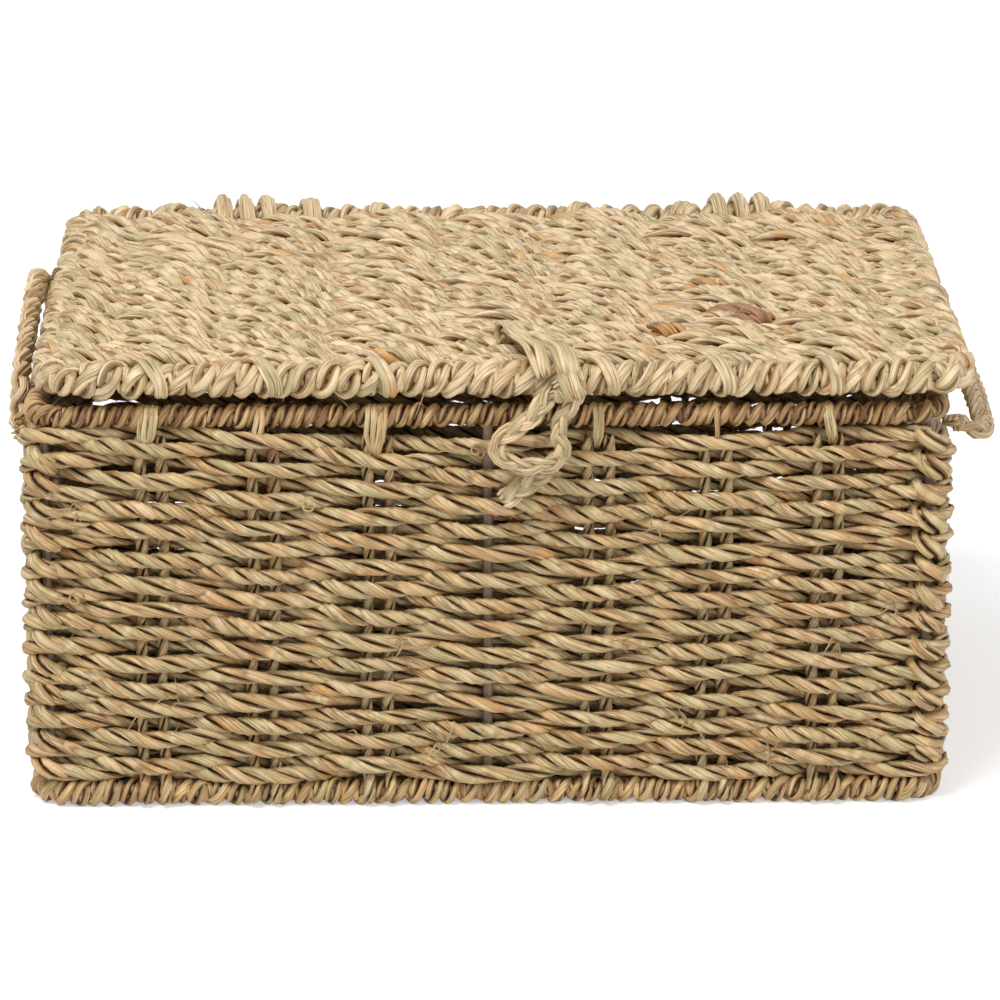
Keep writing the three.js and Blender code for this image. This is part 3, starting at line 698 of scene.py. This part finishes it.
def wall_stakes(name, turn, line, offsets, folds, seed, material):
    """Doubled cords that stand between the courses, some of them seen folding over the rim.

    A fold is its number of blades and how far down the wall it reaches.
    """
    strands = Strands("stakes_" + name, seed, THIN_PLY_SIDES)
    along = turned(np.array([[1.0, 0, 0]]), turn)[0]
    outward = turned(np.array([[0, -1.0, 0]]), turn)[0]
    for offset, (blades, drop) in zip(offsets, folds):
        x = offset + strands.rng.uniform(-1.2, 1.2) * MM
        for leg in (-1, 1):
            foot = x + leg * STAKE_SPACING / 2
            points = [
                (foot, -line - 1 * MM, 2.5 * MM),
                (foot, -line - 5.5 * MM, 4 * MM),
                (foot + 0.5 * MM, -line - 5.2 * MM, 9 * MM),
                (foot, -line - 1 * MM, 16 * MM),
                (foot - 0.7 * MM, -line, 50 * MM),
                (foot + 0.7 * MM, -line, 100 * MM),
                (foot, -line, RIM_Z - 8 * MM),
            ]
            path = curve_through(turned(np.array(points), turn), STEP)
            # The low tone picks darker browns for the stakes: painted shade, as they stand back behind the
            # courses
            strands.twist(path, outward, cord=5 * MM, lay=22 * MM, tone=0.15, change=0.2)
        if blades == 0:
            continue
        lean = strands.rng.uniform(-1.5, 1.5) * MM
        low = WALL_HIGH - drop
        points = [
            (x - lean, -line + 4.4 * MM, RIM_Z - 8 * MM),
            (x - lean, -line + 3.4 * MM, RIM_Z),
            (x - lean, -line + 2.2 * MM, RIM_Z + 2.6 * MM),
            (x, -line, RIM_Z + 3.4 * MM),
            (x, -line - 2.2 * MM, RIM_Z + 2.6 * MM),
            (x, -line - 3.4 * MM, RIM_Z),
            (x + lean, -line - 5 * MM, RIM_Z - 5.5 * MM),
            (x + lean, -line - 5 * MM, WALL_HIGH - 2 * MM),
            (x + lean, -line - 3.5 * MM, low),
            (x + lean, -line - 1 * MM, low - 4 * MM),
        ]
        path = curve_through(turned(np.array(points), turn), 2.6 * MM)
        inner = path * along * along + outward * line + np.array([0, 0, RIM_Z - 3 * MM])
        gather = 1 - 0.6 * ease((RIM_Z - 6 * MM - path[:, 2]) / (RIM_Z - 6 * MM - low))
        away = unit(path - inner)
        spread = 2.1 * MM * blades * gather
        # Tone 0.2 picks browner blades for the folds: painted shadow of the lid's rim above them
        strands.blades(path, away, blades, spread, thick=1.8 * MM, width=2.5 * MM, crown=0.8 * MM, tone=0.2)
    nodes = [f"stake_{name}_{index + 1}" for index in range(len(offsets))]
    strands.build(material, "basket", "seagrass_body", *nodes)


def panel(strands, half_x, half_y, rows, height, swing, cord, wander, seed, centre=0.0, slack=0.25, loose=0):
    """A flat weave whose courses run from side to side."""
    path = weft(half_x, WIDTH_BAY, rows, -half_y, half_y, swing, 0, wander, seed, PANEL_REACH)
    flat = np.column_stack([centre + path[:, 0], path[:, 2], height + path[:, 1]])
    strands.twist(resample(flat, STEP), (0, 1, 0), cord, slack=slack, loose=loose)


def lid_stakes(offsets, seed, material):
    """Doubled cords across the lid, each folded over the lid's front and back rims."""
    strands = Strands("stakes_lid", seed, THIN_PLY_SIDES)
    for offset in offsets:
        x = offset + strands.rng.uniform(-1.5, 1.5) * MM
        for leg in (-1, 1):
            foot = x + leg * STAKE_SPACING / 2
            path = resample(np.array([(foot, -LID_Y, LID_Z), (foot, LID_Y, LID_Z)]), 6 * MM)
            strands.blades(path, (0, 0, 1), 2, spread=4.4 * MM, thick=3.6 * MM, width=2.7 * MM, crown=0)
        for end in (-1, 1):
            lean = strands.rng.uniform(3, 6) * MM
            points = [
                (x - lean, end * (LID_Y - 8 * MM), LID_Z + 3 * MM),
                (x - lean / 2, end * (LID_Y - 3 * MM), LID_Z + 6.4 * MM),
                (x, end * (LID_Y + 1 * MM), LID_Z + 7 * MM),
                (x + lean / 2, end * (LID_Y + 5.2 * MM), LID_Z + 4.8 * MM),
                (x + lean, end * (LID_Y + 7 * MM), LID_Z),
                (x + lean, end * (LID_Y + 4.8 * MM), LID_Z - 4.6 * MM),
                (x + lean, end * (LID_Y + 1 * MM), LID_Z - 5.4 * MM),
            ]
            path = curve_through(points, 2.6 * MM)
            away = unit(path - np.array([0, end * LID_Y, LID_Z]) - path * (1, 0, 0))
            strands.blades(path, away, 2, spread=5 * MM, thick=2.6 * MM, width=3.2 * MM, crown=0.6 * MM)
    nodes = [f"lid_stake_{index + 1}" for index in range(len(offsets))]
    strands.build(material, "lid", "seagrass_lid", *nodes)


# Wraps round the rims


def rim_line(half_x, half_y, radius):
    """A rounded rectangle from its front right corner, counterclockwise seen from above.

    The second list is the direction outward at each station.
    """
    stations, outward = [], []
    for corner in range(4):
        angle_start = -math.pi / 2 + corner * math.pi / 2
        side_x = (1, 1, -1, -1)[corner]
        side_y = (-1, 1, 1, -1)[corner]
        for angle in angle_start + np.linspace(0, math.pi / 2, 13):
            away = np.array([math.cos(angle), math.sin(angle), 0])
            centre = np.array([side_x * (half_x - radius), side_y * (half_y - radius), 0])
            stations.append(centre + radius * away)
            outward.append(away)
    stations = np.array(stations + [stations[0]])
    outward = np.array(outward + [outward[0]])
    return stations, outward


def wrap(strands, rim, pitch, cord, reach, wobble, centre=0.0, tone=0.5):
    """A twisted cord wound turn by turn round a rim wire, its own middle a reach away from the wire's.

    The rim is its half width, half depth, corner radius and height. A negative pitch leans the
    turns the other way. Wobble is how unevenly the turns follow each other.
    """
    half_x, half_y, radius, height = rim
    line, outward = rim_line(half_x, half_y, radius)
    along = arc_lengths(line)
    arcs = np.linspace(0, along[-1], round(along[-1] / abs(pitch) * 16))
    middle_line = read_off(arcs, along, line)
    away = unit(read_off(arcs, along, outward))
    angle = TAU * (arcs / pitch + drift(strands.rng, arcs, 2.2 * abs(pitch), wobble))
    radial = np.cos(angle)[:, None] * away + np.sin(angle)[:, None] * np.array([0, 0, 1.0])
    swell = 1 + drift(strands.rng, arcs, 0.8 * abs(pitch), 0.12)
    path = middle_line + radial * (reach * swell)[:, None] + np.array([centre, 0, height])
    strands.twist(path, radial, cord, LAY, tone, slack=0.5, flat=(0.6, 1.25), loose=3)


# Hinge lashings, clasp and handles

LASHING_CORD = 6 * MM
LASHING_TURNS = 3
LASHING_WIDTH = 28.5 * MM
LASHING_SHIFT = {"left": 9 * MM, "right": 3 * MM}  # to the right of the node's middle
LAST_LASHING_TURN = -73.5 * MM  # where the left lashing's fourth turn stands, apart from the others
RIM_THICKNESS = 7 * MM  # from the middle of the lid's rim wire to the outside of its wraps
SEAT_GAP = 0.3 * MM
LEG_CORD = 7 * MM
LEG_SPACING = 14.1 * MM  # from the knot's middle to the left leg
LEG_SHIFT = 1 * MM  # back towards the knot
LEG_BACK = 34 * MM  # how far the left leg reaches back over the lid
LEG_SLANT = 9 * MM  # to the right, from the top of the rim to its underside
LEG_SPLAY = 8.5 * MM  # to the left, from the rim to the leg's back end
LEG_WRAP_SHARE = 11 / 12  # of half a turn, round the rim
KNOT_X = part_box("clasp_knot")[1].x - 5.3 * MM
KNOT_Y = middle("clasp_loop").y
LOOP_REACH = 29.3 * MM
LOOP_DROP = 29 * MM
# Points of the loop: across in shares of its reach, and up in shares of its drop
LOOP_SHARES = [
    (-0.2, 0),
    (0.02, 0.04),
    (0.12, -0.08),
    (0.02, -0.24),
    (-0.1, -0.41),
    (-0.15, -0.6),
    (-0.09, -0.79),
    (-0.11, -0.96),
    (-0.28, -1.06),
    (-0.52, -1.08),
    (-0.77, -1.03),
    (-0.96, -0.89),
    (-0.96, -0.73),
    (-0.8, -0.6),
    (-0.62, -0.49),
    (-0.45, -0.34),
    (-0.31, -0.14),
]
TOGGLE_TILT = math.radians(36)
TOGGLE_HALF_LENGTH = 11 * MM
HANDLE_SPAN = 98 * MM  # from the middle of a handle to each arm
HANDLE_BEND = 6 * MM
HANDLE_END = 111 * MM
# Points of a handle: along in shares of its span, and out in shares of its reach
LEFT_ARCH_SHARES = [
    (-0.99, 0.3),
    (-0.96, 0.47),
    (-0.8, 0.63),
    (-0.5, 0.79),
    (-0.25, 0.92),
    (0, 1),
    (0.2, 0.93),
    (0.42, 0.7),
    (0.6, 0.5),
    (0.8, 0.33),
    (0.99, 0.24),
]
RIGHT_ARCH_SHARES = [
    (-0.99, 0.45),
    (-0.95, 0.72),
    (-0.8, 0.86),
    (-0.45, 0.95),
    (0, 1),
    (0.45, 0.95),
    (0.8, 0.86),
    (0.95, 0.72),
    (0.99, 0.45),
]


def lashing_turns(node, x_middle, width, turns):
    """A band wound round the lid's back rim and the body's, with the direction away from them."""
    low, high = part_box(node)
    radius = LASHING_CORD / 2
    upper = (LID_Y, LID_Z, high.z - radius - LID_Z)
    lower = (RIM_Y, RIM_Z, RIM_Z - low.z - radius)
    rise = (LID_Y - RIM_Y, LID_Z - RIM_Z)
    stations, outward = [], []
    for turn in np.linspace(0, turns, 36 * turns + 1):
        angle = TAU * turn - math.pi / 2
        facing = (math.cos(angle), math.sin(angle))
        y, z, reach = upper if facing[0] * rise[0] + facing[1] * rise[1] > 0 else lower
        x = x_middle + width * (turn / turns - 0.5)
        stations.append((x, y + reach * facing[0], z + reach * facing[1]))
        outward.append((0, *facing))
    path = np.array(stations)
    along = arc_lengths(path)
    places = np.linspace(0, along[-1], round(along[-1] / STEP))
    return read_off(places, along, path), unit(read_off(places, along, np.array(outward)))


def over_front_rim(x, back, splay, last_angle):
    """A band's line from the lid's top over the front rim, and its outward direction."""
    reach = RIM_THICKNESS + SEAT_GAP + LEG_CORD / 2
    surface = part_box("lid_weave")[1].z + SEAT_GAP + LEG_CORD / 2
    points = [
        (x - splay, -LID_Y + back + 6 * MM, surface - 8 * MM),
        (x - splay, -LID_Y + back, surface),
        (x - splay / 2, -LID_Y + back / 2, surface + 1 * MM),
    ]
    outward = [(0, 0.7, 0.7), (0, 0, 1), (0, 0, 1)]
    for angle in np.linspace(math.pi / 2, last_angle, 7):
        aside = x + LEG_SLANT * (angle / math.pi - 0.5)
        points.append((aside, -LID_Y + reach * math.cos(angle), LID_Z + reach * math.sin(angle)))
        outward.append((0, math.cos(angle), math.sin(angle)))
    path = curve_through(points, STEP)
    knots = arc_lengths(np.array(points, float))
    along = arc_lengths(path) * knots[-1] / arc_lengths(path)[-1]
    return path, unit(read_off(along, knots, np.array(outward, float)))


def loop_points():
    return [(KNOT_X + across * LOOP_REACH, KNOT_Y, LID_Z + up * LOOP_DROP) for across, up in LOOP_SHARES]


def toggle_line():
    low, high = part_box("clasp_toggle")
    centre = np.array((low + high) / 2)
    way = np.array([math.cos(TOGGLE_TILT), 0, math.sin(TOGGLE_TILT)])
    half = TOGGLE_HALF_LENGTH * way
    return resample(np.array([centre - half, centre + half]), 2 * MM)


def joint_place(name):
    """A point on a joint's axis, from the frame."""
    places = [joint["pos_m"] for joint in frame["joints"] if joint["name"] == name]
    return places[0]


def handle_line(side_name, reach, tilt, arch):
    """The line of a handle from one end to the other, and the direction square to its arch."""
    side = -1 if side_name == "left" else 1
    pivot = joint_place(f"handle_{side_name}_swing")
    bend = HANDLE_SPAN + HANDLE_BEND
    points = [(-HANDLE_END, 0), (-bend, 0), (0.3 * HANDLE_BEND - bend, 0.3 * HANDLE_BEND)]
    points += [(span * HANDLE_SPAN, out * reach) for span, out in arch]
    points += [(bend - 0.3 * HANDLE_BEND, 0.3 * HANDLE_BEND), (bend, 0), (HANDLE_END, 0)]
    places = [
        (pivot[0] + side * out * math.cos(tilt), y, pivot[2] + out * math.sin(tilt)) for y, out in points
    ]
    return curve_through(places, STEP), (side * math.sin(tilt), 0, -math.cos(tilt))


# Stage

FLOOR_GREY = 0.86
FLOOR_GLOW = 0.42  # makes the lit floor white to the camera
LIGHT_AIM = (0, 0, 0.08)


def make_stage():
    """A white floor that keeps the shadow under the box."""
    bpy.ops.mesh.primitive_plane_add(size=30)
    floor = bpy.context.object
    floor.name = "floor"
    nodes = Nodes("floor")
    nodes.shader.inputs["Base Color"].default_value = (FLOOR_GREY, FLOOR_GREY, FLOOR_GREY, 1)
    nodes.shader.inputs["Roughness"].default_value = 0.9
    rays = nodes.node("ShaderNodeLightPath").outputs
    seen = nodes.math("ADD", rays["Is Camera Ray"], rays["Is Transmission Ray"])
    seen = nodes.math("MINIMUM", nodes.math("ADD", seen, rays["Is Glossy Ray"]), 1.0)
    strength = nodes.math("MULTIPLY", seen, FLOOR_GLOW)
    glow = nodes.node("ShaderNodeEmission", {"Color": (1, 1, 1, 1), "Strength": strength})
    total = nodes.node("ShaderNodeAddShader", {0: nodes.shader.outputs[0], 1: glow.outputs[0]})
    nodes.tree.links.new(total.outputs[0], nodes.tree.nodes["Material Output"].inputs[0])
    floor.data.materials.append(nodes.material)

    world = bpy.data.worlds.new("studio")
    world.use_nodes = True
    bpy.context.scene.world = world
    tree = world.node_tree
    background = tree.nodes["Background"]
    rays = tree.nodes.new("ShaderNodeLightPath").outputs
    seen = rays["Is Camera Ray"]
    for other in ("Is Glossy Ray", "Is Transmission Ray"):
        total = tree.nodes.new("ShaderNodeMath")
        tree.links.new(seen, total.inputs[0])
        tree.links.new(rays[other], total.inputs[1])
        seen = total.outputs[0]
    strength = tree.nodes.new("ShaderNodeMapRange")
    strength.inputs["To Min"].default_value = 0.5
    strength.inputs["To Max"].default_value = 1.0
    tree.links.new(seen, strength.inputs["Value"])
    tree.links.new(strength.outputs[0], background.inputs["Strength"])
    background.inputs["Color"].default_value = (1, 1, 1, 1)


def make_light(name, place, size, power):
    light = bpy.data.objects.new(name, bpy.data.lights.new(name, "AREA"))
    light.data.shape = "DISK"
    light.data.size = size
    light.data.energy = power
    light.location = place
    way = np.array(LIGHT_AIM) - np.array(place)
    flat = math.hypot(way[0], way[1])
    light.rotation_euler = (math.pi / 2 + math.atan2(way[2], flat), 0, math.atan2(-way[0], way[1]))
    bpy.context.scene.collection.objects.link(light)


bpy.context.scene.view_settings.view_transform = "Standard"
make_camera()
make_stage()
make_light("key", (-0.7, -1.1, 2.3), size=1.2, power=37)
make_light("fill", (1.2, -1.9, 1.2), size=1.2, power=12)

body_grass = grass("seagrass_body", BODY_BLADES, UMBER, DEEP_SHADOW)
rim_grass_brown_and_shaded = grass("seagrass_rim", RIM_BLADES_BROWN_AND_SHADED, UMBER, DEEP_SHADOW)
base_grass = grass("seagrass_base", BASE_BLADES, UMBER, DEEP_SHADOW)
lid_grass = grass("seagrass_lid", LID_BLADES, BROWN, SOFT_SHADOW)
rust_grass = grass("seagrass_rust", RUST_BLADES, UMBER, SOFT_SHADOW)
plait_grass = grass("seagrass_plait", PLAIT_BLADES, BROWN, SOFT_SHADOW)
wire_paint = painted_wire()
for node in frame["nodes"].values():
    node.data.materials.clear()
    node.data.materials.append(wire_paint)

# Body
front_stakes = [middle(f"stake_front_{index + 1}").x for index in range(6)]
side_stakes = [middle(f"stake_right_{index + 1}").y for index in range(5)]
# Folds over the rim: number of blades, and how far down the wall they reach
front_folds = [(4, 3 * MM), (2, 0), (4, 8 * MM), (2, 3 * MM), (1, 2 * MM), (2, 2 * MM)]
back_folds = [(3, 4 * MM), (2, 6 * MM), (2, 3 * MM), (3, 5 * MM), (2, 2 * MM), (3, 6 * MM)]
side_folds = [(0, 0), (2, 4 * MM), (3, 6 * MM), (2, 3 * MM), (0, 0)]
for turn, (name, post, bay, line, sag, cord) in enumerate(
    (
        ("front", POST_X, WIDTH_BAY, RIM_Y, (1.5 * MM, 7 * MM), CORD),
        ("right", POST_Y, DEPTH_BAY, RIM_X, (1 * MM, 3 * MM), CORD),
        ("back", POST_X, WIDTH_BAY, RIM_Y, (1 * MM, 4 * MM), 1.1 * CORD),
        ("left", POST_Y, DEPTH_BAY, RIM_X, (1 * MM, 3 * MM), CORD),
    )
):
    wall(name, turn, post, bay, line, sag, cord, seed=11 + turn, material=body_grass)
wall_stakes("front", 0, RIM_Y, front_stakes, front_folds, seed=21, material=body_grass)
wall_stakes("right", 1, RIM_X, side_stakes, side_folds, seed=22, material=body_grass)
wall_stakes("back", 2, RIM_Y, front_stakes, back_folds, seed=23, material=body_grass)
wall_stakes("left", 3, RIM_X, side_stakes, side_folds, seed=24, material=body_grass)

rim = Strands("rim_wrap", 31, THIN_PLY_SIDES)
rim_path = (RIM_X, RIM_Y, CORNER_RADIUS, RIM_Z)
wrap(rim, rim_path, pitch=5.3 * MM, cord=4.8 * MM, reach=2.9 * MM, wobble=0.3)
# The inner turns take a lower tone: painted shade under the outer turns
wrap(rim, rim_path, pitch=-5 * MM, cord=4.6 * MM, reach=1.4 * MM, wobble=0.2, tone=0.2)
rim.build(rim_grass_brown_and_shaded, "basket", "seagrass_rim", "rim_binding")
base = Strands("base_wrap", 32, THIN_PLY_SIDES, floor=0.0)
base_path = (RIM_X, RIM_Y, CORNER_RADIUS, BASE_Z)
wrap(base, base_path, pitch=6.8 * MM, cord=5.6 * MM, reach=3.2 * MM, wobble=0.3)
wrap(base, base_path, pitch=-5.6 * MM, cord=5.6 * MM, reach=1.7 * MM, wobble=0.2, tone=0.2)
base.build(base_grass, "basket", "seagrass_rim", "base_binding")
bottom = Strands("base_weft", 33, THIN_PLY_SIDES, floor=0.0)
panel(
    bottom,
    half_x=RIM_X - 6 * MM,
    half_y=RIM_Y - 6 * MM,
    rows=BASE_ROWS,
    height=BASE_Z,
    swing=BASE_SWING,
    cord=BASE_CORD,
    wander=BASE_WANDER,
    seed=33,
)
bottom.build(body_grass, "basket", "seagrass_body", "base_weave")

# Lid
top = Strands("lid_weft", 41, THIN_PLY_SIDES)
panel(
    top,
    half_x=LID_X - 5 * MM,
    half_y=LID_Y - 6 * MM,
    rows=LID_ROWS,
    height=LID_Z,
    swing=LID_SWING,
    cord=LID_CORD,
    wander=LID_WANDER,
    seed=41,
    centre=LID_MIDDLE,
    slack=0.6,
    loose=6,
)
top.build(lid_grass, "lid", "seagrass_lid", "lid_weave")
rust = Strands("lid_rust_plies", 44)
for x, y, length, tone in LID_RUST:
    share = np.linspace(-1, 1, 11)
    path = np.column_stack([x + share * length / 2, y + 0 * share, LID_Z + 5 * MM - 2.5 * MM * share**2])
    rust.twist(path, (0, 1, 0), cord=8.2 * MM, lay=22 * MM, tone=tone, change=0.3)
rust.build(rust_grass, "lid", "seagrass_lid")
lid_stakes(front_stakes, 43, lid_grass)
lid_rim = Strands("lid_wrap", 42, THIN_PLY_SIDES)
lid_path = (LID_X, LID_Y, LID_CORNER_RADIUS, LID_Z)
wrap(lid_rim, lid_path, pitch=8.6 * MM, cord=7.8 * MM, reach=4.2 * MM, wobble=0.3, centre=LID_MIDDLE)
wrap(lid_rim, lid_path, -7.6 * MM, cord=6.6 * MM, reach=3 * MM, wobble=0.15, centre=LID_MIDDLE, tone=0.3)
lid_rim.build(lid_grass, "lid", "seagrass_lid", "lid_binding")

# Hinge lashings
for side_name, side in (("left", -1), ("right", 1)):
    node = "hinge_lashing_" + side_name
    lashing = Strands("lashing_" + side_name, 50 + side, sides=7)
    across = middle(node).x + LASHING_SHIFT[side_name]
    path, out = lashing_turns(node, across, LASHING_WIDTH, LASHING_TURNS)
    lashing.blades(path, out, 4, spread=5.6 * MM, thick=3 * MM, width=2.8 * MM, crown=3 * MM)
    if side_name == "left":
        path, out = lashing_turns(node, LAST_LASHING_TURN, width=7 * MM, turns=1)
        lashing.blades(path, out, 4, spread=7.5 * MM, thick=2.4 * MM, width=2.8 * MM, crown=1.8 * MM)
    lashing.build(plait_grass, "basket", "seagrass_plait", node)

# Clasp
legs = Strands("clasp_leg_left", 61)
path, out = over_front_rim(KNOT_X - LEG_SPACING + LEG_SHIFT, LEG_BACK, LEG_SPLAY, LEG_WRAP_SHARE * math.pi)
legs.blades(path, out, 3, spread=8 * MM, thick=2 * MM, width=3.2 * MM, crown=2.2 * MM)
leg_end = np.array([KNOT_X - LEG_SPACING - LEG_SPLAY, -LID_Y + LEG_BACK, LID_Z + 10 * MM])
half_coil = np.array([4 * MM, 2 * MM, 0])
legs.coil(leg_end - half_coil, leg_end + half_coil, radius=3.8 * MM, pitch=3 * MM, cord=1.6 * MM)
legs.build(plait_grass, "lid", "seagrass_plait", "clasp_leg")
knot = Strands("clasp_knot_and_leg", 62)
path, out = over_front_rim(KNOT_X - 3 * MM, LEG_BACK * 0.5, 10 * MM, math.pi)
knot.blades(path, out, 4, spread=8 * MM, thick=2 * MM, width=3 * MM, crown=2.8 * MM)
knot_left = (KNOT_X - 5 * MM, KNOT_Y, LID_Z)
knot_right = (KNOT_X + 6 * MM, KNOT_Y, LID_Z + 2 * MM)
knot.coil(knot_left, knot_right, radius=4.5 * MM, pitch=3.8 * MM, cord=2.4 * MM)
knot.build(plait_grass, "lid", "seagrass_plait", "clasp_knot")
loop = Strands("clasp_loop_plait", 63)
path = curve_through(loop_points(), STEP, closed=True)
loop.plait(path, (0, -1, 0), width=7.2 * MM, thick=5.4 * MM, lay=27 * MM)
loop.build(plait_grass, "clasp", "seagrass_plait", "clasp_loop")
toggle = Strands("clasp_toggle_plait", 64)
toggle.plait(toggle_line(), (0, -1, 0), width=8.4 * MM, thick=6 * MM, lay=24 * MM)
toggle.build(plait_grass, "basket", "seagrass_plait", "clasp_toggle")

# Handles: tilt is in degrees, upwards from straight out
for side_name, seed, reach, tilt, arch, width, tone in (
    ("left", 69, 31 * MM, 92, LEFT_ARCH_SHARES, 9.8 * MM, 0.2),
    ("right", 71, 20.5 * MM, -32, RIGHT_ARCH_SHARES, 8.6 * MM, 0.35),
):
    handle = Strands("handle_plait_" + side_name, seed)
    path, out = handle_line(side_name, reach, math.radians(tilt), arch)
    handle.plait(path, out, width, thick=0.78 * width, lay=32 * MM, tone=tone)
    handle.build(plait_grass, "handle_" + side_name, "seagrass_plait", "handle_" + side_name)
